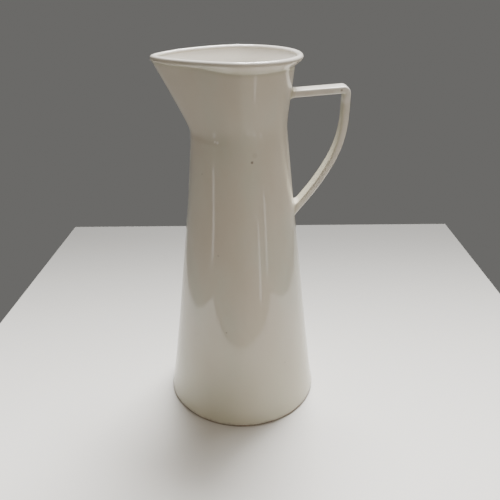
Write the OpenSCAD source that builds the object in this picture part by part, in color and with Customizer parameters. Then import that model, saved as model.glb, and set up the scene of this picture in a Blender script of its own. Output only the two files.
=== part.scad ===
// A tall, tapered pouring jug of glazed earthenware: a conical body drawn in to a waist, a flared lip with
// a drawn-out beak, a flat strap handle set on with slip, and a bare clay ring to stand on.
// Origin: centre of the standing ring, on the surface it stands on. +Z is up, and the beak points to -X.

/* [Body] */
// Overall height, from the surface it stands on to the top of the lip
jug_height = 197; // [192:1:204]
// Outer radius that the straight cone would have at the very bottom
cone_radius = 42.95; // [40:0.05:46]
// Extra radius of the slight flare at the bottom of the wall
foot_flare = 1.1; // [0:0.1:1.5]
// Outer radius of the waist, where the cone and the neck would cross
waist_radius = 23.2; // [21:0.05:25]
// Height of the waist
waist_height = 163; // [158:1:168]
// Outer radius of the neck, just under the lip
neck_radius = 26.4; // [25:0.05:27.5]
// Thickness of the wall
wall = 3.2; // [2.6:0.1:4]
// Height of the inside of the floor at its middle
floor_height = 6.4; // [5:0.1:8]
// Radius of the inside corner between the floor and the wall
floor_corner = 9; // [6:0.5:10]

/* [Lip and beak] */
// Depth of the lip, from its top to the crease where it flares out of the neck
lip_depth = 5.4; // [5.2:0.1:7]
// Radius of the middle of the lip's rounded edge
lip_radius = 28.7; // [27.8:0.1:29]
// Radius of the lip's rounded edge
lip_round = 1.5; // [1.2:0.05:1.8]
// Height at which the beak starts to lean out of the wall
beak_start = 158; // [152:1:160]
// Distance from the axis to the middle of the lip's rounded edge at the tip of the beak
beak_reach = 41.5; // [36:0.1:44]
// Shape of the beak in plan, where 2 is a plain ellipse and less is more pointed
beak_point = 1.5; // [1.35:0.05:1.8]
// How far the tip of the beak lies below the rest of the lip
beak_dip = 0.8; // [0:0.1:2]
// How far the crease under the lip rises on its way to the beak
crease_rise = 2.2; // [0:0.1:2.6]
// How much fuller the waist is on the beak's side
waist_fullness = 1.2; // [0:0.1:1.5]

/* [Handle] */
// Width of the strap
strap_width = 9; // [8:0.5:13]
// Thickness of the strap
strap_thickness = 3.5; // [2.6:0.1:3.6]
// Distance from the axis to the middle of the strap at its corner
handle_reach = 52.2; // [48:0.1:55]
// Height of the middle of the top bar where it meets the neck
bar_height = 178; // [172:0.5:180]
// Slope of the top bar, upwards away from the neck, in degrees
bar_slope = 4.6; // [0:0.2:8]
// Radius of the bend at the corner, on the middle of the strap
corner_radius = 1.9; // [1.9:0.1:5]
// Height at which the middle of the bow meets the wall
bow_height = 117; // [114:0.5:124]
// Lean of the bow from upright where it meets the wall, in degrees
bow_lean = 39; // [32:1:42]

/* [Slip joints] */
// How far each slip joint stands out from the wall
slip_depth = 2.4; // [1.8:0.1:3]
// How much wider than the strap each slip joint is where it meets the wall
slip_spread = 1.4; // [1:0.1:3]

/* [Standing ring] */
// Height of the bare clay ring
ring_height = 1.1; // [0.9:0.1:2]
// Width of the face it stands on
ring_width = 5; // [4:0.5:7]
// How far the ring is set in from the glazed wall
ring_inset = 0.7; // [0.7:0.1:2]
// Radius of the ring's worn edges
ring_edge = 0.5; // [0.3:0.05:0.6]

/* [Hidden] */

// Points round the body, and round the strap's section
sides = 64;
corner_steps = 4;

// Softness of the waist, of the crease where the beak starts, and the height of the flare at the bottom
waist_softness = 0.3;
beak_softness = 0.9;
flare_height = 12;
// Radius of the glaze edge at the bottom of the wall
bottom_round = 0.6;
// Radius of the strap's edges
strap_edge = 0.8;
// The lip's underside leaves the neck at this angle from level, and meets the round edge at its tangent
lip_underside = 45;
// The beak's wall leans, so it is thicker along the level than straight through
beak_wall = wall * 1.12;
// How far the fuller waist fades away above and below the start of the beak
fullness_spread = 30;

lip_z = jug_height - lip_round;
lip_start = jug_height - lip_depth;
neck_slope = (neck_radius - waist_radius) / (lip_start - waist_height);
clay = [0.87, 0.84, 0.76];
glaze = [0.93, 0.91, 0.86];

function clamp01(v) = min(1, max(0, v));
function mix(a, b, t) = a + (b - a) * t;
function soft_max(a, b, s) = (a + b) / 2 + sqrt(pow((a - b) / 2, 2) + s * s);

// Outer radius of the wall at a height, on the handle's side
function cone_r(z) = mix(cone_radius, waist_radius, z / waist_height);
function neck_r(z) = waist_radius + neck_slope * (z - waist_height);
function wall_r(z) = soft_max(cone_r(z), neck_r(z), waist_softness) + foot_flare * exp(-z / flare_height);

// Reach of the beak at a height, and how pointed it is there
function beak_share(z) = (z - beak_start) / (lip_z - beak_start);
function beak_line(z) = mix(wall_r(beak_start), beak_reach + lip_round, beak_share(z));
function full_r(z) = wall_r(z) + waist_fullness * exp(-pow((z - beak_start) / fullness_spread, 2));
function beak_r(z) = soft_max(full_r(z), beak_line(z), beak_softness);
function point_at(z) = mix(2, beak_point, sqrt(clamp01(beak_share(z))));

// A station is [height, radius, reach of the beak, exponent in plan]
function outer_station(z) = [z, wall_r(z), beak_r(z), point_at(z)];
function inner_station(z) = [z, wall_r(z) - wall, beak_r(z) - beak_wall, point_at(z)];
function lip_station(a) = [
    lip_z + lip_round * sin(a),
    lip_radius + lip_round * cos(a),
    beak_reach + lip_round * cos(a),
    beak_point
];
function floor_station(a) = let (
    z = floor_height + floor_corner * (1 - cos(a)),
    r = wall_r(floor_height + floor_corner) - wall - floor_corner * (1 - sin(a))
) [z, r, r, 2];

// The heights of the wall's stations: few on the straight cone, close together round the waist
wall_heights = concat(
    [for (f = [0.05, 0.12, 0.28, 0.55, 0.83]) f * waist_height],
    [for (d = [-15, -10, -6, -3, 0, 3, 7]) waist_height + d],
    [for (f = [0.3, 0.65]) mix(waist_height + 7, lip_start, f)]
);
top_height = len(wall_heights) - 1;

bottom_r = wall_r(ring_height + bottom_round);
outer_stations = concat(
    [[ring_height, bottom_r - bottom_round, bottom_r - bottom_round, 2]],
    [outer_station(ring_height + bottom_round)],
    [for (z = wall_heights) outer_station(z)],
    [[lip_start, wall_r(lip_start), beak_r(lip_start + crease_rise), point_at(lip_start), crease_rise]]
);
lip_stations = [for (a = [-lip_underside, -15, 15, 45, 75, 105, 140, 180]) lip_station(a)];
inner_stations = concat(
    [inner_station(lip_start - wall)],
    [for (k = [top_height : -1 : 1]) inner_station(wall_heights[k])],
    [for (a = [90, 67, 45, 22, 0]) floor_station(a)]
);

// The plan outline of a station: round on the handle's side, drawn to a point on the beak's. A fifth number
// in a station is how far its outline rises on the beak's side, all of it from rise_from outwards.
rise_from = 18;
function beak_drop(x, z) = beak_dip * pow(max(0, -x) / beak_reach, 2) * pow(clamp01(beak_share(z)), 2);
function rise(st, x) = len(st) > 4 ? st[4] * clamp01(-x / rise_from) : 0;
function plan_point(st, a) = let (
    c = cos(a),
    s = sin(a),
    e = 2 / st[3],
    x = c >= 0 ? st[1] * c : -st[2] * pow(-c, e),
    y = c >= 0 ? st[1] * s : st[1] * sign(s) * pow(abs(s), e)
) [x, y, st[0] + rise(st, x) - beak_drop(x, st[0])];
function ring_points(st) = [for (i = [0 : sides - 1]) plan_point(st, 360 * i / sides)];

// A closed skin through rings of n points each, with a flat cap at each end
module skin(rings) {
    n = len(rings[0]);
    last = len(rings) - 1;
    side_faces = [for (k = [0 : last - 1]) for (i = [0 : n - 1]) each [
        [k * n + i, (k + 1) * n + i, (k + 1) * n + (i + 1) % n],
        [k * n + i, (k + 1) * n + (i + 1) % n, k * n + (i + 1) % n]
    ]];
    caps = [[for (i = [0 : n - 1]) i], [for (i = [n - 1 : -1 : 0]) last * n + i]];
    polyhedron([for (r = rings) each r], concat(side_faces, caps), convexity = 6);
}

module body() {
    color(glaze)
        skin([for (st = concat(outer_stations, lip_stations, inner_stations)) ring_points(st)]);
}

// The ring that the jug stands on, with its two lower edges worn round
module foot_ring() {
    outer = wall_r(0) - ring_inset;
    inner = outer - ring_width;
    color(clay) rotate_extrude($fn = 96)
        union() {
            translate([inner, ring_edge]) square([ring_width, ring_height - ring_edge]);
            translate([inner + ring_edge, 0]) square([ring_width - 2 * ring_edge, ring_edge]);
            for (x = [inner + ring_edge, outer - ring_edge]) translate([x, ring_edge]) circle(ring_edge, $fn = 32);
        }
}

// The solid inside the wall's outer surface, grown by a margin, from below the bow to above the bar
module wall_solid(margin) {
    heights = concat([for (k = [2 : top_height]) wall_heights[k]], [lip_start]);
    rotate_extrude($fn = 96)
        polygon(concat(
            [[0, heights[0]]],
            [for (z = heights) [wall_r(z) + margin, z]],
            [[0, lip_start]]
        ));
}

// The middle line of the strap, as [x, z, direction in degrees], from the neck round to the lower wall
bar_dir = bar_slope;
bar_root = [wall_r(bar_height), bar_height];
corner = [handle_reach, bar_root[1] + (handle_reach - bar_root[0]) * tan(bar_dir)];
turn = 90 + bar_dir;
bend_back = corner_radius * tan(turn / 2);
bend_centre = [corner[0] - corner_radius, corner[1] - bend_back];
bow_top = [handle_reach, corner[1] - bend_back];
bow_root = [wall_r(bow_height), bow_height];
bow_dir = -90 - bow_lean;
// The bow is a cubic curve, upright at the corner and leaning at the wall
bow_pull_top = 0.3 * (bow_top[1] - bow_root[1]);
bow_pull_root = 0.65 * (bow_top[1] - bow_root[1]);
bow_controls = [
    bow_top,
    bow_top - [0, bow_pull_top],
    bow_root - bow_pull_root * [cos(bow_dir), sin(bow_dir)],
    bow_root
];
function cubic(p, t) = pow(1 - t, 3) * p[0] + 3 * pow(1 - t, 2) * t * p[1]
    + 3 * (1 - t) * t * t * p[2] + pow(t, 3) * p[3];
function cubic_dir(p, t) = let (
    d = pow(1 - t, 2) * (p[1] - p[0]) + 2 * (1 - t) * t * (p[2] - p[1]) + t * t * (p[3] - p[2])
) atan2(d[1], d[0]);
function along(p, dir, d) = [p[0] + d * cos(dir), p[1] + d * sin(dir), dir];
function bend_point(a) = [
    bend_centre[0] + corner_radius * cos(a),
    bend_centre[1] + corner_radius * sin(a),
    a - 90
];

// Past each root the line runs on straight, into the wall, where the slip joint cuts the strap off
path = concat(
    [for (d = [-4, 4, 14]) along(bar_root, bar_dir, d)],
    [for (k = [0 : 5]) bend_point(mix(90 + bar_dir, 0, k / 5))],
    [for (k = [1 : 13]) let (t = k / 14, p = cubic(bow_controls, t)) [p[0], p[1], cubic_dir(bow_controls, t)]],
    [for (d = [0, 6]) along(bow_root, bow_dir, d)]
);

// A flat section with round edges, grown by a margin
function quarter(cx, cy, r, from) = [for (k = [0 : corner_steps]) let (a = from + 90 * k / corner_steps)
    [cx + r * cos(a), cy + r * sin(a)]];
function section(grow) = let (
    w = strap_width / 2 - strap_edge,
    t = strap_thickness / 2 - strap_edge,
    r = strap_edge + grow
) concat(quarter(w, t, r, 0), quarter(-w, t, r, 90), quarter(-w, -t, r, 180), quarter(w, -t, r, 270));
// A section across the line at a path point, moved through its thickness by lift
function strap_ring(p, grow, lift = 0) = [for (q = section(grow))
    [p[0] - (q[1] - lift) * sin(p[2]), q[0], p[1] + (q[1] - lift) * cos(p[2])]];

module handle() {
    color(glaze) difference() {
        skin([for (p = path) strap_ring(p, 0)]);
        wall_solid(slip_depth);
    }
}

// A slip joint carries the strap into the wall and spreads in a hollow curve round it. root is the point on
// the wall, dir the way the line runs into the wall, and long how far the spread reaches along the line. one_side
// is 0 for an even spread, and 1 for one that leaves the strap's underside as it is.
module slip_joint(root, dir, long, one_side) {
    steps = 6;
    color(glaze) difference() {
        intersection() {
            skin([for (k = [0 : steps]) let (a = 90 * k / steps, grow = slip_spread * (1 - cos(a)))
                strap_ring(along(root, dir, mix(-long, slip_depth, sin(a))), grow, grow * one_side)]);
            wall_solid(slip_depth);
        }
        wall_solid(0);
    }
}

module upper_handle_joint() {
    slip_joint(bar_root, bar_dir + 180, slip_depth + 0.5, 0);
}

module lower_handle_joint() {
    slip_joint(bow_root, bow_dir, slip_depth * 3, 0.85);
}

body();
foot_ring();
handle();
upper_handle_joint();
lower_handle_joint();
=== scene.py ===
"""A tall glazed pottery pouring jug: its shell, standing ring, strap handle, slip joints and finishes.

Shapes are worked out in millimetres with +Z up, the beak towards -X and the handle towards +X, and are put
into their meshes in metres.
"""

from __future__ import annotations

import logging
import math
from dataclasses import dataclass
from enum import Enum

import bpy
import numpy as np
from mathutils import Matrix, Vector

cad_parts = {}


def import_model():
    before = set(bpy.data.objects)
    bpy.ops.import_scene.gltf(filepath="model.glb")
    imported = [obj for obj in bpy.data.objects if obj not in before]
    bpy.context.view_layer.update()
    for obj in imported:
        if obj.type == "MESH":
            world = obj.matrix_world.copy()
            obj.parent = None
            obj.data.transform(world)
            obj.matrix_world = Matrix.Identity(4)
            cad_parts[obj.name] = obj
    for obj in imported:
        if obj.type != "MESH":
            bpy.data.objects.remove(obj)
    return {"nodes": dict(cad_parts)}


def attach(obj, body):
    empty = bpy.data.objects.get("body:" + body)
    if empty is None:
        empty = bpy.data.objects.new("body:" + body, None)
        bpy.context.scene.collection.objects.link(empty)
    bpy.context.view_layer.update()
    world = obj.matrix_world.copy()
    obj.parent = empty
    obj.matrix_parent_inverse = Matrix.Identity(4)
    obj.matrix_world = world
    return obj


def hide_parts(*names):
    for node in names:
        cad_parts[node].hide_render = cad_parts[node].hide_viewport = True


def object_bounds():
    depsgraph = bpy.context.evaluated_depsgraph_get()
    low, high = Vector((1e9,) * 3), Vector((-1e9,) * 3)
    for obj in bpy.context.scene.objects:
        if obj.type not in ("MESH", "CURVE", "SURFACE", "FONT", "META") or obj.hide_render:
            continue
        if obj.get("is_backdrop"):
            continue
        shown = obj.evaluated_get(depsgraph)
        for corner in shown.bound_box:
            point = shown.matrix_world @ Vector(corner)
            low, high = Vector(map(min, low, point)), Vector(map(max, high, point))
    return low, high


LOG = logging.getLogger("jug")
MM = 0.001
# The exponent of a plan outline that is a plain circle or ellipse
CIRCLE = 2.0

# A value at one place, or an array of values at many
Values = float | np.ndarray
# A colour, or a place or direction in space
Triple = tuple[float, float, float]
# One mark on the glaze: its place and its radius in millimetres, and its strength
Mark = tuple[Triple, float, float]


class Node(Enum):
    """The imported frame's nodes, by the piece that each one is."""

    BODY = "body"
    FOOT_RING = "foot_ring"
    HANDLE = "handle"
    UPPER_JOINT = "upper_handle_joint"
    LOWER_JOINT = "lower_handle_joint"


class Slot(Enum):
    """The record's material slots."""

    GLAZE = "glaze"
    BARE_CLAY = "bare_clay"


# ---------------------------------------------------------------------------------------------------------
# Curves and grids
# ---------------------------------------------------------------------------------------------------------


def mix(a: Values, b: Values, t: Values) -> Values:
    """Straight blend from a to b as t goes from 0 to 1."""
    return a + (b - a) * t


def soft_max(a: Values, b: Values, softness: float) -> Values:
    """The larger of two values, with the corner between them rounded by softness."""
    return (a + b) / 2 + np.sqrt(((a - b) / 2) ** 2 + softness**2)


def ease(t: Values) -> Values:
    """Slow start and slow end: 3t^2 - 2t^3, with t held between 0 and 1."""
    t = np.clip(t, 0.0, 1.0)
    return t * t * (3 - 2 * t)


def bump_at(x: Values, centre: Values, spread: float) -> Values:
    """A bell curve of height 1 at centre that fades over spread."""
    return np.exp(-(((x - centre) / spread) ** 2))


def bezier(points: list[np.ndarray], count: int, ends: tuple[bool, bool] = (True, True)) -> np.ndarray:
    """Points on a quadratic or cubic Bezier curve.

    Args:
        points: three or four control points, each one point or an array of points.
        count: how many points to give, counted with both ends.
        ends: whether the first and the last point are kept.

    Returns:
        One row for each point of the curve.
    """
    t = np.linspace(0, 1, count)[0 if ends[0] else 1 : count if ends[1] else count - 1]
    t = t.reshape((-1,) + (1,) * np.ndim(points[0]))
    order = len(points) - 1
    weights = [math.comb(order, k) * t**k * (1 - t) ** (order - k) for k in range(order + 1)]
    return sum(w * p for w, p in zip(weights, points))


def closed_skin(
    rings: np.ndarray, poles: tuple[np.ndarray, np.ndarray]
) -> tuple[np.ndarray, np.ndarray, np.ndarray]:
    """A closed surface through rings of points, with a fan to a pole at each end.

    Args:
        rings: an array of ring, point and coordinate.
        poles: the point that closes the first ring, and the one that closes the last.

    Returns:
        The points, the four-sided faces and the three-sided faces.
    """
    count, around = rings.shape[:2]
    index = np.arange(count * around).reshape(count, around)
    after = np.roll(index, -1, axis=1)
    quads = np.stack([index[:-1], after[:-1], after[1:], index[1:]], axis=-1).reshape(-1, 4)
    first, last = count * around, count * around + 1
    start = np.stack([np.full(around, first), after[0], index[0]], axis=-1)
    end = np.stack([np.full(around, last), index[-1], after[-1]], axis=-1)
    points = np.concatenate([rings.reshape(-1, 3), [poles[0]], [poles[1]]])
    return points, quads, np.concatenate([start, end])


def round_stations(z: np.ndarray, r: np.ndarray) -> np.ndarray:
    """Stations whose outlines are plain circles, from their heights and radii."""
    return np.stack([z, r, r, np.full(r.shape, CIRCLE), 0 * r], axis=-1)


def make_piece(
    name: str,
    points: np.ndarray,
    quads: np.ndarray,
    triangles: np.ndarray,
    masks: dict[str, np.ndarray] | None = None,
) -> bpy.types.Object:
    """Puts a surface worked out in millimetres into a smooth-shaded object at the origin.

    Args:
        name: the object's name.
        points: the points, in millimetres.
        quads: four point numbers for each four-sided face.
        triangles: three point numbers for each three-sided face.
        masks: values on the points, by the name that the finishes read them under. They are held between
            0 and 1.

    Returns:
        The new object.
    """
    mesh = bpy.data.meshes.new(name)
    corners = np.concatenate([quads.ravel(), triangles.ravel()]).astype(np.int32)
    sides = np.concatenate([np.full(len(quads), 4), np.full(len(triangles), 3)])
    mesh.vertices.add(len(points))
    mesh.vertices.foreach_set("co", (points * MM).astype(np.float32).ravel())
    mesh.loops.add(len(corners))
    mesh.loops.foreach_set("vertex_index", corners)
    mesh.polygons.add(len(sides))
    mesh.polygons.foreach_set("loop_start", np.concatenate([[0], np.cumsum(sides)[:-1]]).astype(np.int32))
    mesh.polygons.foreach_set("use_smooth", np.ones(len(sides), dtype=bool))
    for key, values in (masks or {}).items():
        held = np.clip(values, 0, 1).astype(np.float32)
        mesh.attributes.new(key, "FLOAT", "POINT").data.foreach_set("value", held)
    mesh.update(calc_edges=True)
    mesh.validate()
    piece = bpy.data.objects.new(name, mesh)
    bpy.context.scene.collection.objects.link(piece)
    return piece


# ---------------------------------------------------------------------------------------------------------
# The jug's form
# ---------------------------------------------------------------------------------------------------------


@dataclass
class JugForm:
    """The jug's driving sizes in millimetres, and the curves that follow from them."""

    height: float = 197.0
    cone_radius: float = 42.948
    foot_flare: float = 1.1
    flare_height: float = 12.0
    waist_radius: float = 23.2
    waist_height: float = 163.0
    waist_softness: float = 0.3
    neck_radius: float = 26.4
    wall: float = 3.2
    floor_height: float = 6.4
    floor_corner: float = 9.0
    lip_depth: float = 5.4
    lip_radius: float = 28.7
    lip_round: float = 1.5
    beak_start: float = 158.0
    beak_reach: float = 41.5
    beak_point: float = 1.5
    beak_dip: float = 0.8
    beak_softness: float = 0.9
    crease_rise: float = 2.2
    rise_from: float = 22.0
    waist_fullness: float = 1.2
    fullness_spread: float = 30.0
    ring_height: float = 1.1
    ring_width: float = 5.0
    ring_inset: float = 0.7
    # The beak's wall leans, so it is thicker along the level than straight through
    beak_wall_factor: float = 1.12

    @property
    def lip_z(self) -> float:
        """Height of the middle of the lip's rounded edge."""
        return self.height - self.lip_round

    @property
    def crease_z(self) -> float:
        """Height of the crease under the lip, on the handle's side."""
        return self.height - self.lip_depth

    def wall_radius(self, z: Values) -> Values:
        """Outer radius of the wall at a height: a straight cone that meets a neck opening upwards.

        The corner between the two is rounded, and a flare that dies away upwards is added at the foot.

        Args:
            z: the height.

        Returns:
            The radius.
        """
        cone = mix(self.cone_radius, self.waist_radius, z / self.waist_height)
        slope = (self.neck_radius - self.waist_radius) / (self.crease_z - self.waist_height)
        neck = self.waist_radius + slope * (z - self.waist_height)
        return soft_max(cone, neck, self.waist_softness) + self.foot_flare * np.exp(-z / self.flare_height)

    def beak_share(self, z: Values) -> Values:
        """How far up the beak a height is: 0 where the beak starts, 1 at the lip."""
        return (z - self.beak_start) / (self.lip_z - self.beak_start)

    def beak_radius(self, z: Values) -> Values:
        """Reach of the wall on the beak's side: the further of the wall and the beak's straight line.

        Args:
            z: the height.

        Returns:
            The distance from the axis, with the corner between the two rounded.
        """
        full = self.wall_radius(z) + self.waist_fullness * bump_at(z, self.beak_start, self.fullness_spread)
        tip = self.beak_reach + self.lip_round
        line = mix(self.wall_radius(self.beak_start), tip, self.beak_share(z))
        return soft_max(full, line, self.beak_softness)

    def pointedness(self, z: Values) -> Values:
        """Exponent of the plan outline on the beak's side: 2 is an ellipse, less is more pointed."""
        return mix(CIRCLE, self.beak_point, np.sqrt(np.clip(self.beak_share(z), 0.0, 1.0)))

    def station(self, z: Values, inset: float = 0.0) -> np.ndarray:
        """The wall's stations at given heights.

        Args:
            z: one height or an array of heights.
            inset: how far inside the outer surface the stations lie.

        Returns:
            A row of height, radius, reach of the beak, exponent and rise for each height.
        """
        z = np.atleast_1d(np.asarray(z, float))
        radius = self.wall_radius(z) - inset
        reach = self.beak_radius(z) - inset * self.beak_wall_factor
        return np.stack([z, radius, reach, self.pointedness(z), 0 * z], axis=-1)

    def lip_station(self, degrees: Values) -> np.ndarray:
        """Stations round the lip's edge, which is a part of a circle.

        Args:
            degrees: angles from level outside, over the top, to level inside at 180.

        Returns:
            A row of height, radius, reach of the beak, exponent and rise for each angle.
        """
        a = np.radians(np.atleast_1d(np.asarray(degrees, float)))
        r = self.lip_round
        rows = [self.lip_z + r * np.sin(a), self.lip_radius + r * np.cos(a), self.beak_reach + r * np.cos(a)]
        return np.stack([*rows, np.full(a.shape, self.beak_point), 0 * a], axis=-1)

    def plan(self, stations: np.ndarray, around: int) -> np.ndarray:
        """The rings of points that stations stand for.

        On the handle's side the outline is a circle. On the beak's side it is a superellipse from the same
        radius out to the reach. The crease rises and the lip dips on the way to the beak's tip.

        Args:
            stations: rows of height, radius, reach, exponent and rise.
            around: how many points a ring has.

        Returns:
            An array of ring, point and coordinate.
        """
        a = np.linspace(0, 2 * np.pi, around, endpoint=False)[None, :]
        z, radius, reach, exponent, rise = (stations[:, k, None] for k in range(5))
        c, s, power = np.cos(a), np.sin(a), 2 / exponent
        beak_side = c < 0
        x = np.where(beak_side, -reach * np.abs(c) ** power, radius * c)
        y = np.where(beak_side, radius * np.sign(s) * np.abs(s) ** power, radius * s)
        out = np.maximum(0.0, -x)
        dip = self.beak_dip * (out / self.beak_reach) ** 2 * np.clip(self.beak_share(z), 0, 1) ** 2
        return np.stack([x, y, z + rise * ease(out / self.rise_from) - dip], axis=-1)


# ---------------------------------------------------------------------------------------------------------
# Shader building
# ---------------------------------------------------------------------------------------------------------


class Graph:
    """A short way to place and join shader nodes in a material or a node group."""

    def __init__(self, tree: bpy.types.NodeTree) -> None:
        """Works in one node tree."""
        self.tree = tree
        self.column = 0

    def add(self, kind: str, settings: dict[str, object] | None = None, **inputs: object) -> bpy.types.Node:
        """Places a node.

        Args:
            kind: the node's type name without its ShaderNode prefix, or with it for group sockets.
            settings: the node's own properties.
            **inputs: a value or an output socket for each input, with _ for a space in its name, or i0, i1
                and so on for an input by its number.

        Returns:
            The node.
        """
        node = self.tree.nodes.new(kind if kind.startswith("NodeGroup") else f"ShaderNode{kind}")
        self.column += 1
        node.location = (self.column % 12 * 190, -(self.column // 12) * 260)
        for key, value in (settings or {}).items():
            setattr(node, key, value)
        for key, value in inputs.items():
            by_number = key[0] == "i" and key[1:].isdigit()
            self.feed(node.inputs[int(key[1:]) if by_number else key.replace("_", " ")], value)
        return node

    def feed(self, socket: bpy.types.NodeSocket, value: object) -> None:
        """Joins an output to a socket, or sets the socket's own value.

        Args:
            socket: the input socket.
            value: an output socket, or a plain value.
        """
        if isinstance(value, bpy.types.NodeSocket):
            self.tree.links.new(value, socket)
        else:
            socket.default_value = value

    def math(
        self, operation: str, a: object, b: object = 0.0, c: object = 0.0, clamp: bool = False
    ) -> bpy.types.NodeSocket:
        """One step of arithmetic on up to three values."""
        settings = {"operation": operation, "use_clamp": clamp}
        return self.add("Math", settings, i0=a, i1=b, i2=c).outputs[0]

    def group(self, tree: bpy.types.NodeTree, **inputs: object) -> bpy.types.NodeSocket:
        """Places a node group that has one output, and gives that output."""
        return self.add("Group", {"node_tree": tree}, **inputs).outputs[0]

    def aligned(self, way: bpy.types.NodeSocket, with_way: Triple) -> bpy.types.NodeSocket:
        """How far a direction points along a given one."""
        return self.add("VectorMath", {"operation": "DOT_PRODUCT"}, i0=way, i1=with_way).outputs["Value"]

    def scaled(self, vector: bpy.types.NodeSocket, factors: Triple) -> bpy.types.NodeSocket:
        """A vector with each of its three parts multiplied."""
        return self.add("VectorMath", {"operation": "MULTIPLY"}, i0=vector, i1=factors).outputs[0]

    def noise(
        self, vector: bpy.types.NodeSocket, scale: object, detail: float = 3.0, rough: float = 0.5
    ) -> bpy.types.NodeSocket:
        """Smooth noise between 0 and 1, with scale in repeats for each unit of the vector."""
        node = self.add("TexNoise", None, Vector=vector, Scale=scale, Detail=detail, Roughness=rough)
        return node.outputs["Fac"]

    def ramp(
        self, value: bpy.types.NodeSocket, low: float, high: float, to_low: float = 0.0, to_high: float = 1.0
    ) -> bpy.types.NodeSocket:
        """A smooth step between two results as a value goes between two limits.

        Args:
            value: the value.
            low: the limit that gives to_low.
            high: the limit that gives to_high.
            to_low: the result at and past low.
            to_high: the result at and past high.

        Returns:
            The result's socket.
        """
        settings = {"interpolation_type": "SMOOTHSTEP", "clamp": True}
        node = self.add("MapRange", settings, Value=value)
        for key, number in {"From Min": low, "From Max": high, "To Min": to_low, "To Max": to_high}.items():
            self.feed(node.inputs[key], number)
        return node.outputs["Result"]

    def blend(self, factor: object, a: object, b: object) -> bpy.types.NodeSocket:
        """Colour a covered with colour b by a factor.

        Args:
            factor: how much b covers, from 0 to 1.
            a: the colour below.
            b: the colour on top.

        Returns:
            The blended colour's socket.
        """
        node = self.add("Mix", {"data_type": "RGBA"})
        for number, value in ((0, factor), (6, a), (7, b)):
            self.feed(node.inputs[number], value)
        return node.outputs[2]

    def surface(self, shade: object, rough: object, height: object, refraction: float) -> None:
        """Ends a material.

        Args:
            shade: its colour.
            rough: its roughness.
            height: the height of its bumps, in millimetres.
            refraction: its index of refraction.
        """
        bump = self.add("Bump", None, Strength=1.0, Distance=MM, Height=height).outputs["Normal"]
        inputs = {"Base_Color": shade, "Roughness": rough, "IOR": refraction, "Normal": bump}
        shader = self.add("BsdfPrincipled", None, **inputs)
        self.add("OutputMaterial", None, Surface=shader.outputs[0])

    def mask(self, name: str) -> bpy.types.NodeSocket:
        """A value that the piece's mesh holds under a name."""
        return self.add("Attribute", {"attribute_name": name}).outputs["Fac"]


def colour(value: Triple) -> tuple[float, float, float, float]:
    """A colour with full cover, as sockets take it."""
    return (*value, 1.0)


def new_group(
    name: str, inputs: dict[str, tuple[str, object]], outputs: dict[str, str]
) -> tuple[bpy.types.NodeTree, Graph, dict[str, bpy.types.NodeSocket], bpy.types.NodeInputs]:
    """Starts a shader node group with named sockets.

    Args:
        name: the group's name.
        inputs: socket type and starting value by input name.
        outputs: socket type by output name.

    Returns:
        The group, a Graph for it, its inputs' sockets by name and the node that takes its outputs.
    """
    tree = bpy.data.node_groups.new(name, "ShaderNodeTree")
    for key, (kind, value) in inputs.items():
        socket = tree.interface.new_socket(name=key, in_out="INPUT", socket_type=f"NodeSocket{kind}")
        if value is not None:
            socket.default_value = value
    for key, kind in outputs.items():
        tree.interface.new_socket(name=key, in_out="OUTPUT", socket_type=f"NodeSocket{kind}")
    graph = Graph(tree)
    given = graph.add("NodeGroupInput").outputs
    return tree, graph, {key: given[key] for key in inputs}, graph.add("NodeGroupOutput").inputs


def start_material(name: str) -> tuple[bpy.types.Material, Graph, bpy.types.NodeSocket]:
    """Starts an empty material.

    Args:
        name: the material's name.

    Returns:
        The material, a Graph for it and its Object coordinates.
    """
    material = bpy.data.materials.new(name)
    material.use_nodes = True
    material.node_tree.nodes.clear()
    graph = Graph(material.node_tree)
    return material, graph, graph.add("TexCoord").outputs["Object"]


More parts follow.
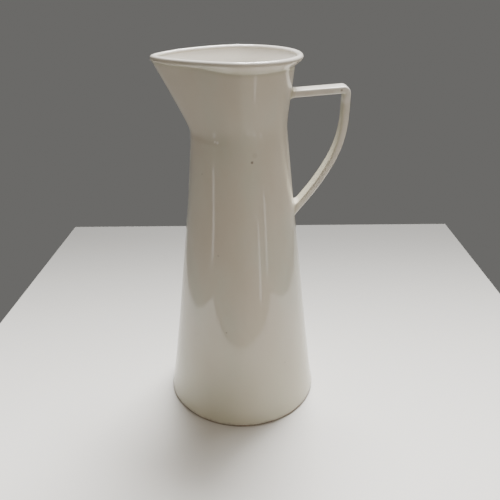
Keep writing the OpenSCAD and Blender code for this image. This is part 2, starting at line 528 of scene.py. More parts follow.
class SharedEffects:
    """The effects that more than one finish uses, each built once as a node group."""

    def __init__(self) -> None:
        """Builds every group."""
        self.tone = self._build_tone()
        self.specks = self._build_specks()
        self.mark = self._build_mark()
        self.ripple = self._build_ripple()
        self.soil = self._build_soil()

    @staticmethod
    def _build_tone() -> bpy.types.NodeTree:
        """Slow drift between three near colours, over patches of a few centimetres and of a few millimetres.

        Returns:
            The node group.
        """
        tree, g, given, out = new_group(
            "tone_drift",
            {
                "Place": ("Vector", None),
                "Plain": ("Color", (0.8, 0.8, 0.8, 1)),
                "Warm": ("Color", (0.8, 0.7, 0.6, 1)),
                "Cool": ("Color", (0.7, 0.8, 0.7, 1)),
                "Amount": ("Float", 1.0),
            },
            {"Color": "Color"},
        )
        broad = g.noise(g.scaled(given["Place"], (1, 1, 0.45)), 38.0, 2.0)
        fine = g.noise(g.scaled(given["Place"], (1, 1, 0.6)), 260.0, 3.0)
        warm = g.math("MULTIPLY", g.ramp(broad, 0.42, 0.72), given["Amount"])
        cool = g.math("MULTIPLY", g.ramp(broad, 0.55, 0.28), given["Amount"])
        mottle = g.math("MULTIPLY", g.ramp(fine, 0.45, 0.75, 0.0, 0.35), given["Amount"])
        shade = g.blend(warm, given["Plain"], given["Warm"])
        shade = g.blend(cool, shade, given["Cool"])
        g.feed(out["Color"], g.blend(mottle, shade, given["Warm"]))
        return tree

    @staticmethod
    def _build_specks() -> bpy.types.NodeTree:
        """Small dark specks of iron, one in a few of the cells of a random foam, each of its own size.

        Returns:
            The node group.
        """
        tree, g, given, out = new_group(
            "iron_specks",
            {
                "Place": ("Vector", None),
                "Cells": ("Float", 160.0),
                "Share": ("Float", 0.2),
                "Size": ("Float", 0.06),
            },
            {"Mask": "Float"},
        )
        cells = g.add("TexVoronoi", None, Vector=given["Place"], Scale=given["Cells"])
        pick = g.add("SeparateColor", None, Color=cells.outputs["Color"]).outputs
        chosen = g.math("LESS_THAN", pick["Red"], given["Share"])
        size = g.math("MULTIPLY", given["Size"], g.math("MULTIPLY_ADD", pick["Green"], 0.8, 0.35))
        edge = g.math("DIVIDE", cells.outputs["Distance"], size)
        g.feed(out["Mask"], g.math("MULTIPLY", g.ramp(edge, 1.0, 0.45), chosen))
        return tree

    @staticmethod
    def _build_mark() -> bpy.types.NodeTree:
        """One small mark at a given place, with an uneven edge.

        Returns:
            The node group.
        """
        tree, g, given, out = new_group(
            "single_mark",
            {"Place": ("Vector", None), "Centre": ("Vector", None), "Radius": ("Float", 0.0005)},
            {"Mask": "Float"},
        )
        ends = {"i0": given["Place"], "i1": given["Centre"]}
        away = g.add("VectorMath", {"operation": "DISTANCE"}, **ends).outputs["Value"]
        uneven = g.math("MULTIPLY_ADD", g.noise(given["Place"], 2200.0, 2.0), 0.9, -0.45)
        edge = g.math("ADD", g.math("DIVIDE", away, given["Radius"]), uneven)
        g.feed(out["Mask"], g.ramp(edge, 1.15, 0.45))
        return tree

    @staticmethod
    def _build_ripple() -> bpy.types.NodeTree:
        """Height of the glaze in millimetres: broad swells, runs drawn out downwards, and a fine orange peel.

        Returns:
            The node group.
        """
        tree, g, given, out = new_group(
            "glaze_ripple",
            {
                "Place": ("Vector", None),
                "Swell": ("Float", 0.05),
                "Runs": ("Float", 0.02),
                "Peel": ("Float", 0.004),
            },
            {"Height": "Float"},
        )
        swell = g.noise(g.scaled(given["Place"], (1, 1, 0.5)), 55.0, 1.0)
        runs = g.noise(g.scaled(given["Place"], (1, 1, 0.12)), 190.0, 2.0)
        peel = g.noise(given["Place"], 900.0, 1.0)
        total = g.math("MULTIPLY", swell, given["Swell"])
        total = g.math("ADD", total, g.math("MULTIPLY", runs, given["Runs"]))
        g.feed(out["Height"], g.math("ADD", total, g.math("MULTIPLY", peel, given["Peel"])))
        return tree

    @staticmethod
    def _build_soil() -> bpy.types.NodeTree:
        """Broken patches of grime, strong where the given amount is high.

        Returns:
            The node group.
        """
        tree, g, given, out = new_group(
            "soil",
            {"Place": ("Vector", None), "Amount": ("Float", 0.0), "Grain": ("Float", 700.0)},
            {"Mask": "Float"},
        )
        patches = g.noise(given["Place"], 130.0, 4.0, 0.65)
        grain = g.noise(given["Place"], given["Grain"], 2.0)
        broken = g.math("MULTIPLY", g.ramp(patches, 0.3, 0.7, 0.25, 1.0), g.ramp(grain, 0.3, 0.62, 0.35, 1.0))
        g.feed(out["Mask"], g.math("MULTIPLY", broken, given["Amount"], clamp=True))
        return tree


@dataclass(frozen=True)
class Finish:
    """What every finish has: three near colours that it drifts between, its grime and its refraction."""

    name: str
    plain: Triple
    warm: Triple
    cool: Triple
    grime: Triple
    refraction: float

    def drifting(
        self, g: Graph, effects: SharedEffects, place: bpy.types.NodeSocket, amount: float
    ) -> bpy.types.NodeSocket:
        """The finish's colour where it is clean.

        Args:
            g: the material's graph.
            effects: the shared node groups.
            place: the material's coordinates.
            amount: how far it drifts between its three colours.

        Returns:
            The colour's socket.
        """
        shades = {"Plain": self.plain, "Warm": self.warm, "Cool": self.cool}
        inputs = {key: colour(value) for key, value in shades.items()}
        return g.group(effects.tone, Place=place, Amount=amount, **inputs)


@dataclass(frozen=True)
class GlazeFinish(Finish):
    """Clear, slightly creamy gloss glaze over a white clay body.

    The piece's mesh holds three masks: pool_and_shade, where glaze lies thick and where shade is painted;
    thin_and_lit, where it has run off an edge and where light and highlights are painted; and soil, where
    grime settles.
    """

    plain: Triple = (0.73, 0.69, 0.60)
    warm: Triple = (0.715, 0.65, 0.55)
    cool: Triple = (0.68, 0.685, 0.595)
    # The colour of glaze lying thick, also painted as shade in creases, hollows and low on the wall
    pooled_and_shaded: Triple = (0.56, 0.54, 0.41)
    # The colour of thinly running glaze, also painted as light inside the jug and as highlights on the lip
    # and the handle
    thinned_and_lit: Triple = (0.92, 0.90, 0.855)
    speck: Triple = (0.13, 0.10, 0.07)
    grime: Triple = (0.20, 0.165, 0.12)
    refraction: float = 1.52
    # How much of the colour below each kind of mark covers
    pooled_and_shaded_cover: float = 0.8
    thinned_and_lit_cover: float = 0.75
    speck_cover: float = 0.75
    pinhole_cover: float = 0.4
    grime_cover: float = 0.85
    # Roughness where it is clean and where it is smeared
    clean: float = 0.035
    smeared: float = 0.10
    # Sizes of its unevenness in millimetres, and how far it drifts between its colours
    pit_depth: float = 0.02
    drift: float = 0.75
    swell: float = 0.07
    runs: float = 0.018
    peel: float = 0.0025
    dark_marks: tuple[Mark, ...] = ()
    pale_marks: tuple[Mark, ...] = ()

    def _dotted(
        self, g: Graph, effects: SharedEffects, place: bpy.types.NodeSocket, shade: bpy.types.NodeSocket
    ) -> bpy.types.NodeSocket:
        """Adds the single marks.

        Args:
            g: the material's graph.
            effects: the shared node groups.
            place: the material's coordinates.
            shade: the colour below the marks.

        Returns:
            The colour with the marks on it.
        """
        for marks, paint in ((self.dark_marks, self.speck), (self.pale_marks, self.thinned_and_lit)):
            for centre, radius, strength in marks:
                spot = {"Radius": radius * MM, "Centre": tuple(part * MM for part in centre)}
                cover = g.math("MULTIPLY", g.group(effects.mark, Place=place, **spot), strength)
                shade = g.blend(cover, shade, colour(paint))
        return shade

    def build(self, effects: SharedEffects) -> bpy.types.Material:
        """Makes the material.

        Args:
            effects: the shared node groups.

        Returns:
            The finished material.
        """
        material, g, place = start_material(self.name)
        shade = self.drifting(g, effects, place, self.drift)
        # Painted shade and thickly lying glaze darken the colour
        shade = g.blend(g.math("MULTIPLY", g.mask("pool_and_shade"), self.pooled_and_shaded_cover), shade, colour(self.pooled_and_shaded))
        # Painted light and highlights, and thinly running glaze, lighten the colour
        shade = g.blend(g.math("MULTIPLY", g.mask("thin_and_lit"), self.thinned_and_lit_cover), shade, colour(self.thinned_and_lit))
        specks = g.group(effects.specks, Place=place, Cells=75.0, Share=0.14, Size=0.036)
        pinholes = g.group(effects.specks, Place=place, Cells=240.0, Share=0.1, Size=0.045)
        dots = g.math("MULTIPLY", specks, self.speck_cover)
        dots = g.math("MAXIMUM", dots, g.math("MULTIPLY", pinholes, self.pinhole_cover))
        shade = g.blend(dots, shade, colour(self.speck))
        shade = self._dotted(g, effects, place, shade)
        dirt = g.math("MULTIPLY", g.group(effects.soil, Place=place, Amount=g.mask("soil")), self.grime_cover)
        shade = g.blend(dirt, shade, colour(self.grime))
        ripple = g.group(effects.ripple, Place=place, Swell=self.swell, Runs=self.runs, Peel=self.peel)
        pitted = g.math("MULTIPLY_ADD", specks, -self.pit_depth, ripple)
        smears = g.noise(place, 75.0, 4.0, 0.6)
        rough = g.ramp(smears, 0.35, 0.75, self.clean, self.smeared)
        rough = g.math("ADD", rough, g.math("MULTIPLY", dirt, 0.5), clamp=True)
        g.surface(shade, rough, pitted, self.refraction)
        return material


@dataclass(frozen=True)
class BareClayFinish(Finish):
    """Dry, unglazed clay, rubbed and soiled where it stands on the table."""

    name: str = "bare_clay"
    plain: Triple = (0.42, 0.35, 0.26)
    warm: Triple = (0.33, 0.25, 0.17)
    cool: Triple = (0.47, 0.43, 0.36)
    grime: Triple = (0.07, 0.055, 0.04)
    refraction: float = 1.45
    # Heights of its grain in millimetres, and its least and greatest roughness
    coarse_height: float = 0.12
    fine_height: float = 0.05
    smoothest: float = 0.78
    roughest: float = 0.95

    def build(self, effects: SharedEffects) -> bpy.types.Material:
        """Makes the material.

        Args:
            effects: the shared node groups.

        Returns:
            The finished material.
        """
        material, g, place = start_material(self.name)
        tone = self.drifting(g, effects, place, 1.0)
        soil = g.group(effects.soil, Place=place, Amount=g.mask("soil"), Grain=1100.0)
        shade = g.blend(soil, tone, colour(self.grime))
        grain = g.noise(place, 2600.0, 3.0, 0.7)
        coarse = g.noise(place, 600.0, 3.0, 0.6)
        fine = g.math("MULTIPLY", grain, self.fine_height)
        height = g.math("MULTIPLY_ADD", coarse, self.coarse_height, fine)
        rough = g.ramp(coarse, 0.3, 0.7, self.smoothest, self.roughest)
        g.surface(shade, rough, height, self.refraction)
        return material


SHELL_GLAZE = GlazeFinish(
    "shell_glaze",
    dark_marks=(
        ((5.4, -24.4, 150.4), 0.8, 0.7),
        ((6.8, -23.8, 153.6), 1.6, 0.1),
        ((-18.9, -17.8, 142.5), 0.42, 0.85),
        ((-8.4, -34.9, 59.2), 0.55, 0.5),
        ((-11.9, -28.3, 102.3), 0.7, 0.22),
        ((24.0, -30.5, 35.3), 0.7, 0.22),
    ),
    pale_marks=(((-12.4, -21.0, 159.5), 0.8, 1.0), ((-11.1, -21.6, 159.3), 0.9, 1.0)),
)
HANDLE_GLAZE = GlazeFinish(
    "handle_glaze", swell=0.03, runs=0.008, drift=0.6, dark_marks=(((49.1, -4.5, 180.0), 0.6, 0.6),)
)


# ---------------------------------------------------------------------------------------------------------
# The jug's pieces
# ---------------------------------------------------------------------------------------------------------


def settle(piece: bpy.types.Object, node: Node, material: bpy.types.Material) -> None:
    """Dresses a piece and gives it its CAD node's place in the frame.

    Args:
        piece: the new piece.
        node: the CAD node that it stands for.
        material: its finish.
    """
    piece.data.materials.append(material)
    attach(piece, "root")
    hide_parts(node.value)
    LOG.info("%s: %d faces, stands for %s", piece.name, len(piece.data.polygons), node.value)


@dataclass
class Shell:
    """The cast shell: underside, wall, lip with its beak, inside and floor, as one closed surface."""

    form: JugForm
    around: int = 288
    bottom_round: float = 0.6
    recess_dome: float = 0.5
    crease_blend: float = 0.9
    wobble: float = 0.07
    # Rings of the rounded bottom edge, the hollow under the lip, the slope up to the lip and its round edge
    bottom_rings: int = 6
    hollow_rings: int = 8
    slope_rings: int = 5
    edge_rings: int = 26
    # How much painted shade darkens the crease, how thick glaze lies at the floor's corner, how much painted
    #     # shade darkens the wall low down, and up to what height
    crease_shade: float = 0.9
    floor_pool: float = 0.8
    low_shade: float = 0.9
    low_shade_height: float = 80.0
    # How much painted light lightens the inside, how thinly glaze runs at the bottom edge, and how soiled the
    #     # underside is
    inside_light: float = 0.85
    bottom_thin: float = 0.4
    under_soil: float = 0.25

    def _outer(self) -> np.ndarray:
        """Stations up the outside, close together at the foot, the waist and the crease under the lip.

        Returns:
            A row of height, radius, reach, exponent and rise for each ring.
        """
        f = self.form
        low = f.ring_height + self.bottom_round
        top = f.crease_z - self.crease_blend
        runs = [np.linspace(low, 30, 20), np.linspace(32, 140, 36), np.linspace(142, top, 44)]
        return f.station(np.concatenate(runs))

    def _lip(self) -> np.ndarray:
        """Stations from the crease, up the lip's sloping underside and over its round edge to the inside.

        Returns:
            A row of height, radius, reach, exponent and rise for each ring.
        """
        f = self.form
        crease = f.station(f.crease_z)[0]
        crease[2] = f.beak_radius(f.crease_z + f.crease_rise)
        crease[4] = f.crease_rise
        edge = f.lip_station(-45.0)[0]
        away = edge - crease
        step = self.crease_blend / np.linalg.norm(away[:2])
        below = f.station(f.crease_z - self.crease_blend)[0]
        hollow = bezier([below, crease, crease + away * step], self.hollow_rings + 1, (False, True))
        slope = mix(crease + away * step, edge, np.linspace(0.2, 0.9, self.slope_rings)[:, None])
        return np.concatenate([hollow, slope, f.lip_station(np.linspace(-45, 180, self.edge_rings))])

    def _inner(self) -> np.ndarray:
        """Stations down the inside, from the lip's inner edge to the rounded corner at the floor.

        Returns:
            A row of height, radius, reach, exponent and rise for each ring.
        """
        f = self.form
        edge = f.lip_station(180.0)[0]
        under = edge - np.array([2.4, 0.5, 0.5, 0, 0])
        start = f.crease_z - 4.5
        meet = f.station(start, f.wall)[0]
        above = f.station(start + 2.5, f.wall)[0]
        mouth = bezier([edge, under, above, meet], 16, (False, False))
        corner_top = f.floor_height + f.floor_corner
        heights = np.concatenate([np.linspace(start, 142, 40), np.linspace(139, corner_top + 2, 36)])
        a = np.radians(np.linspace(90, 6, 14))
        z = f.floor_height + f.floor_corner * (1 - np.cos(a))
        r = f.wall_radius(corner_top) - f.wall - f.floor_corner * (1 - np.sin(a))
        corner = round_stations(z, r)
        middle = np.array([f.floor_height, 1.0, 1.0, CIRCLE, 0.0])
        flat = mix(corner[-1], middle, np.linspace(0.1, 1, 12)[:, None])
        return np.concatenate([mouth, f.station(heights, f.wall), corner, flat])

    def _underside(self) -> np.ndarray:
        """Stations of the underside, from near its middle, slightly domed, out to the rounded bottom edge.

        Returns:
            A row of height, radius, reach, exponent and rise for each ring.
        """
        f = self.form
        outer = f.wall_radius(f.ring_height + self.bottom_round)
        r = np.linspace(1.0, outer - self.bottom_round, 24)
        z = f.ring_height + self.recess_dome * (1 - ease(r / (outer - f.ring_width - 2)))
        flat = round_stations(z, r)
        a = np.radians(np.linspace(-75, -8, self.bottom_rings))
        z = f.ring_height + self.bottom_round * (1 + np.sin(a))
        r = outer - self.bottom_round * (1 - np.cos(a))
        return np.concatenate([flat, round_stations(z, r)])

    def _unevenness(self, rings: np.ndarray) -> np.ndarray:
        """How far each point lies out of true, in millimetres.

        A few slow waves round the jug and up it, as a cast wall has after drying, none at the very foot.

        Args:
            rings: an array of ring, point and coordinate.

        Returns:
            The distance outwards for each point of each ring.
        """
        x, y, z = rings[..., 0], rings[..., 1], rings[..., 2]
        a = np.arctan2(y, x)
        waves = (
            np.sin(2 * a + z / 31 + 0.4)
            + 0.7 * np.sin(3 * a - z / 23 + 2.1)
            + 0.5 * np.sin(5 * a + z / 17 + 4.0)
            + 0.6 * np.sin(z / 13 + 1.0)
        )
        return self.wobble * waves * ease(z / 25)

    def build(self, material: bpy.types.Material) -> bpy.types.Object:
        """Makes the shell.

        Args:
            material: its glaze.

        Returns:
            The shell's object.
        """
        f = self.form
        stations = np.concatenate([self._underside(), self._outer(), self._lip(), self._inner()])
        rings = f.plan(stations, self.around)
        radius = np.hypot(rings[..., 0], rings[..., 1])
        rings[..., :2] *= (1 + self._unevenness(rings) / np.maximum(radius, 8.0))[..., None]
        poles = (np.array([0, 0, f.ring_height + self.recess_dome]), np.array([0, 0, f.floor_height]))
        points, quads, triangles = closed_skin(rings, poles)
        masks = self._masks(points, len(self._underside()), len(self._outer()), len(stations))
        piece = make_piece("shell", points, quads, triangles, masks)
        settle(piece, Node.BODY, material)
        return piece

    def _masks(self, points: np.ndarray, under: int, outer: int, count: int) -> dict[str, np.ndarray]:
        """Where glaze pools or thins, where shade and light are painted, and where the shell is darker.

        Painted shade darkens the crease under the lip and the wall low down, more towards the foot.
        Glaze pools at the floor's corner. Painted light lightens the inside. Glaze thins over the lip's edge,
        where a highlight is painted, and at the bottom edge. The bottom edge is darker, and grime lies on the
        underside.

        Args:
            points: the shell's points.
            under: how many rings the underside has.
            outer: how many rings the outside has.
            count: how many rings there are in all.

        Returns:
            Each mask's values on the points.
        """
        f = self.form
        z = points[:, 2]
        ring = np.minimum(np.arange(len(points)) // self.around, count - 1)
        out = np.clip(-points[:, 0] / f.rise_from, 0, 1)
        crease = f.crease_z + f.crease_rise * ease(out)
        lip_edge = under + outer + self.hollow_rings + self.slope_rings
        outside = (ring >= under) & (ring <= lip_edge)
        inside = ring >= lip_edge + self.edge_rings
        recessed = ring < under - self.bottom_rings
        # Painted shade in the crease under the lip
        pool_and_shade = self.crease_shade * bump_at(z, crease, 1.3) * outside
        pool_and_shade = pool_and_shade + self.floor_pool * inside * bump_at(z, f.floor_height, 4.0)
        # Painted shade low on the wall, darker towards the foot
        pool_and_shade = pool_and_shade + self.low_shade * outside * ease((self.low_shade_height - z) / self.low_shade_height)
        # Over the lip's edge, thinly running glaze and a painted highlight; at the bottom edge, thinly
        # running glaze
        thin_and_lit = ease((z - f.lip_z) / f.lip_round + 0.35) + self.bottom_thin * bump_at(z, f.ring_height, 0.8)
        # Darker at the bottom edge, and grime on the underside
        soil = bump_at(z, f.ring_height, 0.9) * ~recessed * ~inside + self.under_soil * recessed
        # Painted light inside the jug
        return {"pool_and_shade": pool_and_shade, "thin_and_lit": np.maximum(thin_and_lit, self.inside_light * inside), "soil": soil}


@dataclass
class FootRing:
    """The bare clay ring under the shell."""

    form: JugForm
    around: int = 288
    edge: float = 0.5
    overlap: float = 0.15
    # How high wear and grime reach, and how deep the wear is
    worn_height: float = 1.2
    wear: float = 0.035

    def build(self, material: bpy.types.Material) -> bpy.types.Object:
        """Makes the ring: a flat section with round lower edges, carried round the axis and closed on itself.

        Args:
            material: its bare clay.

        Returns:
            The ring's object.
        """
        f = self.form
        outer = f.wall_radius(0.0) - f.ring_inset
        inner = outer - f.ring_width
        top = f.ring_height + self.overlap
        a = np.radians(np.linspace(0, 90, 7))
        back, up = self.edge * (1 - np.cos(a)), self.edge * (1 - np.sin(a))
        inner_edge = np.stack([inner + back, up], axis=-1)
        outer_edge = np.stack([outer - back, up], axis=-1)[::-1]
        base = np.stack([np.linspace(inner + 1, outer - 1, 9), np.zeros(9)], axis=-1)
        sides = np.array([[outer, 1.0], [outer, top], [inner, top], [inner, 1.0]])
        section = np.concatenate([inner_edge, base, outer_edge, sides])
        turn = np.linspace(0, 2 * np.pi, self.around, endpoint=False)[:, None]
        r, z = section[None, :, 0], section[None, :, 1]
        worn = self.wear * np.sin(17 * turn + 3 * r) * np.sin(7 * turn + 1.3)
        r = r + worn * (z < self.worn_height)
        z = z + 0 * turn
        rings = np.stack([r * np.cos(turn), r * np.sin(turn), z], axis=-1)
        count, around = rings.shape[:2]
        index = np.arange(count * around).reshape(count, around)
        after, along = np.roll(index, -1, axis=1), np.roll(index, -1, axis=0)
        both = np.roll(after, -1, axis=0)
        quads = np.stack([index, along, both, after], axis=-1).reshape(-1, 4)
        points = rings.reshape(-1, 3)
        masks = {"soil": 0.35 + 0.6 * ease(1 - points[:, 2] / self.worn_height)}
        piece = make_piece("standing_ring", points, quads, np.zeros((0, 3), int), masks)
        settle(piece, Node.FOOT_RING, material)
        return piece


@dataclass
class Strap:
    """The flat strap handle: its line in the XZ plane and its rounded section."""

    form: JugForm
    width: float = 9.0
    thickness: float = 3.5
    edge: float = 0.8
    crown: float = 0.12
    reach: float = 52.19
    bar_height: float = 178.0
    bar_slope: float = 4.6
    corner_radius: float = 1.9
    bow_height: float = 117.0
    bow_lean: float = 39.0
    pull_top: float = 0.30
    pull_root: float = 0.65
    bury: float = 1.6
    root_swell: float = 0.04
    # How thinly glaze runs along the edges, and how much painted highlight lightens the bar's top and the
    #     # outside of the bend
    edge_thin: float = 0.55
    top_highlight: float = 0.6
    bend_highlight: float = 0.9
    # How much painted shade darkens the bend's inner corner and the loop's inside
    corner_shade: float = 0.6
    inside_shade: float = 0.9

    def __post_init__(self) -> None:
        """Works out the corner, the roots and the directions from the driving sizes."""
        f = self.form
        self.bar_root = np.array([float(f.wall_radius(self.bar_height)), self.bar_height])
        self.bow_root = np.array([float(f.wall_radius(self.bow_height)), self.bow_height])
        slope = math.radians(self.bar_slope)
        self.bar_way = np.array([math.cos(slope), math.sin(slope)])
        lean = math.radians(-90 - self.bow_lean)
        self.bow_way = np.array([math.cos(lean), math.sin(lean)])
        corner_z = self.bar_root[1] + (self.reach - self.bar_root[0]) * math.tan(slope)
        back = self.corner_radius * math.tan(math.radians(90 + self.bar_slope) / 2)
        self.bend_centre = np.array([self.reach - self.corner_radius, corner_z - back])

    def line(self) -> np.ndarray:
        """The strap's middle line: the top bar, a tight bend and a cubic curve down to the wall.

        Returns:
            A row of x, z and the two parts of the line's direction for each point.
        """
        a = np.radians(np.linspace(90 + self.bar_slope, 0, 14))
        bend = self.bend_centre + self.corner_radius * np.stack([np.cos(a), np.sin(a)], axis=-1)
        bar_start = self.bar_root - self.bury * self.bar_way
        bar = mix(bar_start, bend[0], np.linspace(0, 1, 40)[:-1, None])
        top = bend[-1]
        drop = top[1] - self.bow_root[1]
        controls = [
            top,
            top - np.array([0, self.pull_top * drop]),
            self.bow_root - self.pull_root * drop * self.bow_way,
            self.bow_root,
        ]
        bow = bezier(controls, 110, (False, True))
        run_in = self.bow_root + np.linspace(0.25, 1, 4)[:, None] * self.bury * 1.6 * self.bow_way
        points = np.concatenate([bar, bend, bow, run_in])
        way = np.gradient(points, axis=0)
        way /= np.linalg.norm(way, axis=1, keepdims=True)
        return np.concatenate([points, way], axis=1)

    def section(self) -> np.ndarray:
        """The strap's section: a flat shape with quarter-round edges and slightly crowned faces.

        Returns:
            A row of the place across the width and the place through the thickness for each point.
        """
        w, t = self.width / 2 - self.edge, self.thickness / 2 - self.edge
        corners = np.array([[w, t], [-w, t], [-w, -t], [w, -t]])
        parts = []
        for k, corner in enumerate(corners):
            a = np.radians(np.linspace(90 * k, 90 * k + 90, 9))
            turn = self.edge * np.stack([np.cos(a), np.sin(a)], axis=-1)
            count = 12 if k % 2 == 0 else 4
            start, end = corner + turn[-1], corners[(k + 1) % 4] + turn[-1]
            parts += [corner + turn, mix(start, end, np.linspace(0, 1, count)[1:-1, None])]
        points = np.concatenate(parts)
        across = np.clip(np.abs(points[:, 0]) / (self.width / 2), 0, 1)
        points[:, 1] -= np.sign(points[:, 1]) * self.crown * across**2
        return points

    def carry(self, line: np.ndarray, section: np.ndarray, thick: np.ndarray) -> np.ndarray:
        """Carries the section along a line, square to it, with its thickness scaled at each point.

        Args:
            line: a row of x, z and the two parts of the direction for each point.
            section: the place across the width and through the thickness of each of the section's points.
            thick: the factor on the thickness for each point of the line.

        Returns:
            An array of ring, point and coordinate.
        """
        x, z, dx, dz = (line[:, k, None] for k in range(4))
        across, through = section[None, :, 0], section[None, :, 1] * thick[:, None]
        return np.stack([x - through * dz, across + 0 * x, z + through * dx], axis=-1)

    def build(self, material: bpy.types.Material) -> bpy.types.Object:
        """Makes the strap, a little thicker towards its two roots.

        Args:
            material: its glaze.

        Returns:
            The strap's object.
        """
        line = self.line()
        run = np.concatenate([[0], np.cumsum(np.linalg.norm(np.diff(line[:, :2], axis=0), axis=1))])
        thick = 1 + self.root_swell * (np.exp(-run / 7) + 1.6 * np.exp(-(run[-1] - run) / 12))
        rings = self.carry(line, self.section(), thick)
        shake = 0.05 * np.sin(run / 5.1 + 0.7) + 0.04 * np.sin(run / 2.9 + 2.0)
        rings[..., 1] += shake[:, None]
        points, quads, triangles = closed_skin(rings, (rings[0].mean(axis=0), rings[-1].mean(axis=0)))
        piece = make_piece("strap", points, quads, triangles, self._masks(points, line))
        settle(piece, Node.HANDLE, material)
        return piece

    def _masks(self, points: np.ndarray, line: np.ndarray) -> dict[str, np.ndarray]:
        """Glaze runs thinly on the edges, and highlight is painted on the bar's top and the bend's outside.

        Painted shade lies in the bend's inner corner and on the loop's inside.

        Args:
            points: the strap's points.
            line: a row of x, z and the two parts of the direction for each ring.

        Returns:
            Each mask's values on the points.
        """
        side = np.abs(points[:, 1]) / (self.width / 2)
        corner = np.hypot(points[:, 0] - self.bend_centre[0], points[:, 2] - self.bend_centre[1])
        thin_and_lit = self.edge_thin * ease((side - 0.82) / 0.18)
        # Painted highlight round the outside of the bend
        thin_and_lit += self.bend_highlight * bump_at(corner, self.corner_radius + 1.6, 1.2)
        around = len(self.section())
        height = np.repeat(line[:, 1], around)
        normal = np.stack([-line[:, 3], line[:, 2]], axis=-1).repeat(around, axis=0)
        away = (points[:-2, [0, 2]] - np.repeat(line[:, :2], around, axis=0)) * normal
        depth = away.sum(axis=1) / (self.thickness / 2)
        inward = ease(0.2 - depth) * ease((self.bend_centre[1] + 1 - height) / 8)
        level = np.clip(line[:, 2], 0, 1).repeat(around)
        # Painted highlight on the bar's top
        thin_and_lit[:-2] += self.top_highlight * ease(depth) * level
        # Painted shade in the bend's inner corner
        pool_and_shade = self.corner_shade * bump_at(corner, 0.0, 1.6)
        # Painted shade on the loop's inside
        pool_and_shade[:-2] += self.inside_shade * inward
        return {"pool_and_shade": pool_and_shade, "thin_and_lit": thin_and_lit, "soil": np.zeros(len(points))}


@dataclass
class SlipJoint:
    """A hollow fillet of slip where the strap meets the wall.

    It is length long on the strap and reaches spread past it on the wall, by the share under on the strap's
    lower face. The share pooled_and_shaded is how much its hollow is darkened: painted shade, with glaze
    lying thick there.
    """

    strap: Strap
    node: Node
    root: np.ndarray
    way: np.ndarray
    length: float
    spread: float
    pooled_and_shaded: float
    under: float
    steps: int = 16
    # How far its two ends run under the strap and the wall, and how far its last ring is buried
    strap_sink: float = 0.04
    wall_sink: float = 0.06
    depth: float = 1.2
    # Steps towards the wall, which are enough for it to be met exactly
    tries: int = 24

    def _to_wall(self, start: np.ndarray) -> np.ndarray:
        """Where lines from given points, along the strap's way, meet the wall.

        Each step moves a point by the gap between its distance from the axis and the wall's radius there.

        Args:
            start: the points that the lines start from.

        Returns:
            One point on the wall for each line.
        """
        points = start.copy()
        for _ in range(self.tries):
            gap = self.strap.form.wall_radius(points[:, 2]) - np.hypot(points[:, 0], points[:, 1])
            points[:, 0] += gap
            points[:, 2] += gap * self.way[1] / self.way[0]
        return points

    def build(self, material: bpy.types.Material) -> bpy.types.Object:
        """Makes the fillet.

        Each point of the strap's section gives one curve: from the strap's surface, along it to the wall, and
        out along the wall. The curve is a quadratic Bezier, so it leaves the strap and reaches the wall
        smoothly. Both ends run slightly under the surface that they join.

        Args:
            material: its glaze.

        Returns:
            The fillet's object.
        """
        strap = self.strap
        section = strap.section()
        swell = 1 + strap.root_swell * 1.4
        line = np.array([[*self.root, *self.way]])
        base = strap.carry(line, section, np.array([swell]))[0]
        below = np.clip(section[:, 1] / (strap.thickness / 2), 0, 1)
        widen = self.spread * mix(1.0, self.under, below)
        grown = section + widen[:, None] * self._outward(section)
        spread = strap.carry(line, grown, np.array([swell]))[0]
        ahead = np.array([self.way[0], 0.0, self.way[1]])
        meet = self._to_wall(base)
        foot = self._to_wall(spread)
        inward = np.stack([-foot[:, 0], -foot[:, 1], 0 * foot[:, 2]], axis=-1)
        inward /= np.linalg.norm(inward, axis=1, keepdims=True)
        start = meet - self.length * ahead + self.strap_sink * (base.mean(axis=0) - base) / strap.thickness
        curve = bezier([start, meet, foot + self.wall_sink * inward], self.steps)
        deep = foot + self.depth * inward
        rings = np.concatenate([curve, deep[None]])
        poles = (start.mean(axis=0), deep.mean(axis=0))
        points, quads, triangles = closed_skin(rings, poles)
        share = np.concatenate([np.repeat(np.linspace(0, 1, self.steps + 1), len(section)), [0, 1]])
        masks = {
            # Painted shade, with glaze lying thick, darkens the hollow
            "pool_and_shade": self.pooled_and_shaded * bump_at(share, 0.6, 0.35),
            "thin_and_lit": np.zeros(len(points)),
            "soil": 0.12 * bump_at(share, 0.55, 0.2),
        }
        name = self.node.value.replace("handle_joint", "slip_fillet")
        piece = make_piece(name, points, quads, triangles, masks)
        if volume_of(points, quads, triangles) < 0:
            piece.data.flip_normals()
        settle(piece, self.node, material)
        return piece

    @staticmethod
    def _outward(section: np.ndarray) -> np.ndarray:
        """The way out of the section at each of its points: across the line through its two neighbours.

        Args:
            section: the section's points.

        Returns:
            A direction of length 1 for each point.
        """
        tangent = np.roll(section, -1, axis=0) - np.roll(section, 1, axis=0)
        out = np.stack([tangent[:, 1], -tangent[:, 0]], axis=-1)
        return out / np.linalg.norm(out, axis=1, keepdims=True)


def volume_of(points: np.ndarray, quads: np.ndarray, triangles: np.ndarray) -> float:
    """The signed volume inside a closed surface.

    Args:
        points: the points.
        quads: four point numbers for each four-sided face.
        triangles: three point numbers for each three-sided face.

    Returns:
        The volume, which is positive if the faces point outwards.
    """
    faces = np.concatenate([quads[:, [0, 1, 2]], quads[:, [0, 2, 3]], triangles])
    a, b, c = (points[faces[:, k]] for k in range(3))
    return float(np.einsum("ij,ij->i", a, np.cross(b, c)).sum() / 6)


# ---------------------------------------------------------------------------------------------------------
# The studio
# ---------------------------------------------------------------------------------------------------------


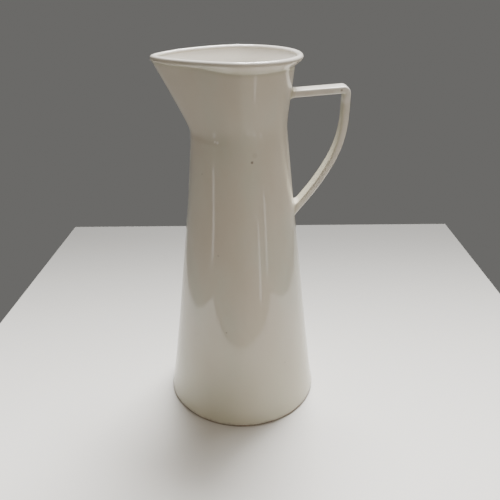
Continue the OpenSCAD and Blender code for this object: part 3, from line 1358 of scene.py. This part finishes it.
@dataclass(frozen=True)
class Lamp:
    """A rectangular soft light: its place, what it faces and its size in metres, and its power in watts."""

    name: str
    place: Triple
    target: Triple
    size: tuple[float, float]
    power: float
    tint: Triple = (1.0, 1.0, 1.0)

    def build(self) -> None:
        """Hangs the light, out of the camera's sight."""
        data = bpy.data.lights.new(self.name, "AREA")
        data.shape = "RECTANGLE"
        data.size, data.size_y = self.size
        data.energy = self.power
        data.color = self.tint
        light = bpy.data.objects.new(self.name, data)
        light.location = self.place
        way = light.location - type(light.location)(self.target)
        light.rotation_euler = way.to_track_quat("Z", "Y").to_euler()
        light.visible_camera = False
        bpy.context.scene.collection.objects.link(light)


@dataclass
class Studio:
    """Pale floor with painted shade towards the back, soft lights and the camera."""

    floor_corners: tuple[tuple[float, float], ...] = (
        (-0.192, -0.150),
        (0.206, -0.150),
        (0.205, 0.228),
        (-0.165, 0.227),
    )
    camera_place: Triple = (0.0, -0.2791, 0.2362)
    camera_down: float = 27.5
    camera_right: float = 0.98
    lens: float = 40.2
    # The board's colour in front and at the back: painted light in front and painted shade behind
    board_lit_front: Triple = (0.94, 0.93, 0.90)
    board_shaded_back: Triple = (0.19, 0.188, 0.182)
    wall: Triple = (0.148, 0.146, 0.14)
    lit_room: Triple = (0.66, 0.575, 0.47)
    lit_way: Triple = (-0.08, -0.95, 0.30)
    dark_room: Triple = (0.06, 0.054, 0.045)
    dark_way: Triple = (-0.66, -0.75, 0.0)
    # Between which values of a direction's agreement with a way the room changes to that way's colour
    lit_span: tuple[float, float] = (-0.3, 1.0)
    dark_span: tuple[float, float] = (0.35, 0.95)
    # Between which depths the board goes from its front colour to its back colour
    board_shade_span: tuple[float, float] = (-0.12, 0.24)
    lamps: tuple[Lamp, ...] = (
        Lamp("overhead", (0.14, 0.40, 0.98), (0, 0, 0.05), (0.46, 0.46), 31.0, (1.0, 0.99, 0.97)),
        Lamp("window_gap", (0.66, -0.98, -0.22), (0, 0, 0.17), (0.07, 0.22), 0.13),
        Lamp("doorway_right", (0.90, -0.78, -0.16), (0, 0, 0.10), (0.06, 0.20), 0.10),
        Lamp("doorway_left", (-1.0, -0.62, -0.14), (0, 0, 0.10), (0.10, 0.22), 0.15),
    )

    def build_camera(self) -> None:
        """Makes the camera, a little above the jug and looking down at it."""
        data = bpy.data.cameras.new("camera")
        data.lens = self.lens
        data.sensor_width = 36.0
        data.clip_start = 0.01
        camera = bpy.data.objects.new("camera", data)
        camera.location = self.camera_place
        camera.rotation_euler = (math.radians(90 - self.camera_down), 0, math.radians(-self.camera_right))
        bpy.context.scene.collection.objects.link(camera)
        bpy.context.scene.camera = camera

    def build_world(self) -> None:
        """A dim grey room, warmer and lighter in front and darker towards the front left."""
        world = bpy.data.worlds.new("room")
        world.use_nodes = True
        g = Graph(world.node_tree)
        way = g.add("TexCoord").outputs["Generated"]
        lit = g.ramp(g.aligned(way, self.lit_way), *self.lit_span)
        dark = g.ramp(g.aligned(way, self.dark_way), *self.dark_span)
        shade = g.blend(lit, colour(self.wall), colour(self.lit_room))
        shade = g.blend(dark, shade, colour(self.dark_room))
        g.feed(world.node_tree.nodes["Background"].inputs["Color"], shade)
        bpy.context.scene.world = world

    def build_floor(self) -> None:
        """A pale, matt board, with painted shade that darkens it towards the back."""
        points = np.array([(x, y, 0.0) for x, y in self.floor_corners]) / MM
        floor = make_piece("floor", points, np.array([[0, 1, 2, 3]]), np.zeros((0, 3), int))
        material = bpy.data.materials.new("pale_board_painted_shade")
        material.use_nodes = True
        g = Graph(material.node_tree)
        depth = g.add("SeparateXYZ", None, Vector=g.add("TexCoord").outputs["Object"]).outputs["Y"]
        # Painted shade: darker towards the back
        shade = g.blend(g.ramp(depth, *self.board_shade_span), colour(self.board_lit_front), colour(self.board_shaded_back))
        shader = material.node_tree.nodes["Principled BSDF"]
        g.feed(shader.inputs["Base Color"], shade)
        shader.inputs["Roughness"].default_value = 0.7
        floor.data.materials.append(material)
        floor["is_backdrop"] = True

    def build(self) -> None:
        """Makes the whole studio."""
        self.build_camera()
        self.build_world()
        self.build_floor()
        for lamp in self.lamps:
            lamp.build()


def main() -> None:
    """Loads the frame, builds the studio and the jug round it, and reports each piece."""
    logging.basicConfig(level=logging.INFO, format="%(name)s: %(message)s")
    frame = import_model()
    cad_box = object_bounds()
    LOG.info("frame nodes: %s", ", ".join(sorted(frame["nodes"])))
    Studio().build()
    effects = SharedEffects()
    handle_glaze = HANDLE_GLAZE.build(effects)
    form = JugForm(height=cad_box[1][2] / MM)
    Shell(form).build(SHELL_GLAZE.build(effects))
    FootRing(form).build(BareClayFinish().build(effects))
    strap = Strap(form)
    strap.build(handle_glaze)
    # The upper joint's hollow gets strong painted shade, the lower one's a little
    upper_sizes = {"length": 2.4, "spread": 1.4, "pooled_and_shaded": 0.9, "under": 1.0}
    lower_sizes = {"length": 4.2, "spread": 2.2, "pooled_and_shaded": 0.35, "under": 0.15}
    upper = SlipJoint(strap, Node.UPPER_JOINT, strap.bar_root, -strap.bar_way, **upper_sizes)
    lower = SlipJoint(strap, Node.LOWER_JOINT, strap.bow_root, strap.bow_way, **lower_sizes)
    for joint in (upper, lower):
        joint.build(handle_glaze)


if __name__ == "__main__":
    main()
